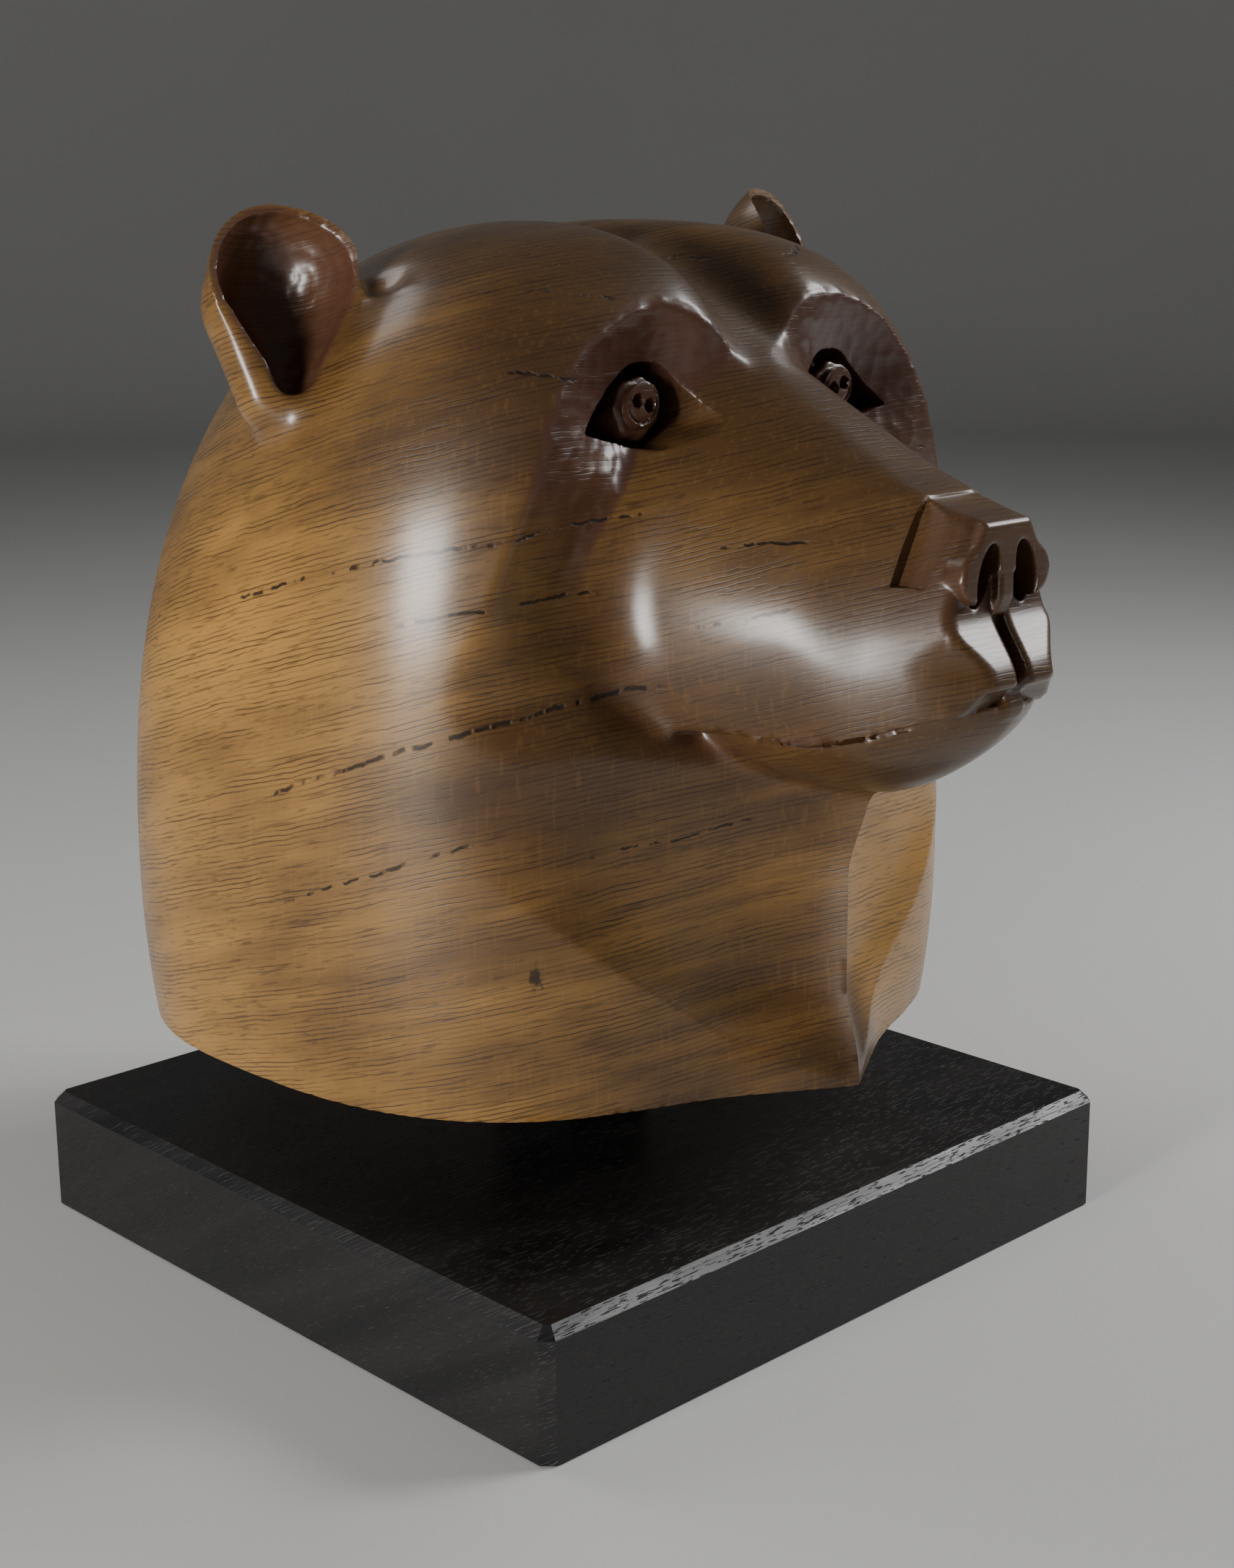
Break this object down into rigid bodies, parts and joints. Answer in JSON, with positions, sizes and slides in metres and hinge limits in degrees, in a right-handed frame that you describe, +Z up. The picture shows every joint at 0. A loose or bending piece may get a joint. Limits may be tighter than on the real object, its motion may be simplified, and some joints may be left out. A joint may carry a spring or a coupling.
{
  "type": "bear head sculpture",
  "caption": "Carved wooden bear head with scooped eye sockets, cupped ears and a keeled throat, raised on a short post over a square dark plinth.",
  "frame": {"origin": "centre of the plinth's underside", "axes": "+Z up out of the plinth, the bear faces -Y, +X is the bear's left"},
  "size_m": [0.3516, 0.4436, 0.4688],
  "materials": {
    "oak": "waxed satin",
    "post_black": "blackened, matt",
    "ebonised_wood": "ebonised, open pored, satin"
  },
  "bodies": {
    "root": {"bear_head": "oak", "support_post": "post_black", "plinth": "ebonised_wood"}
  },
  "joints": []
}
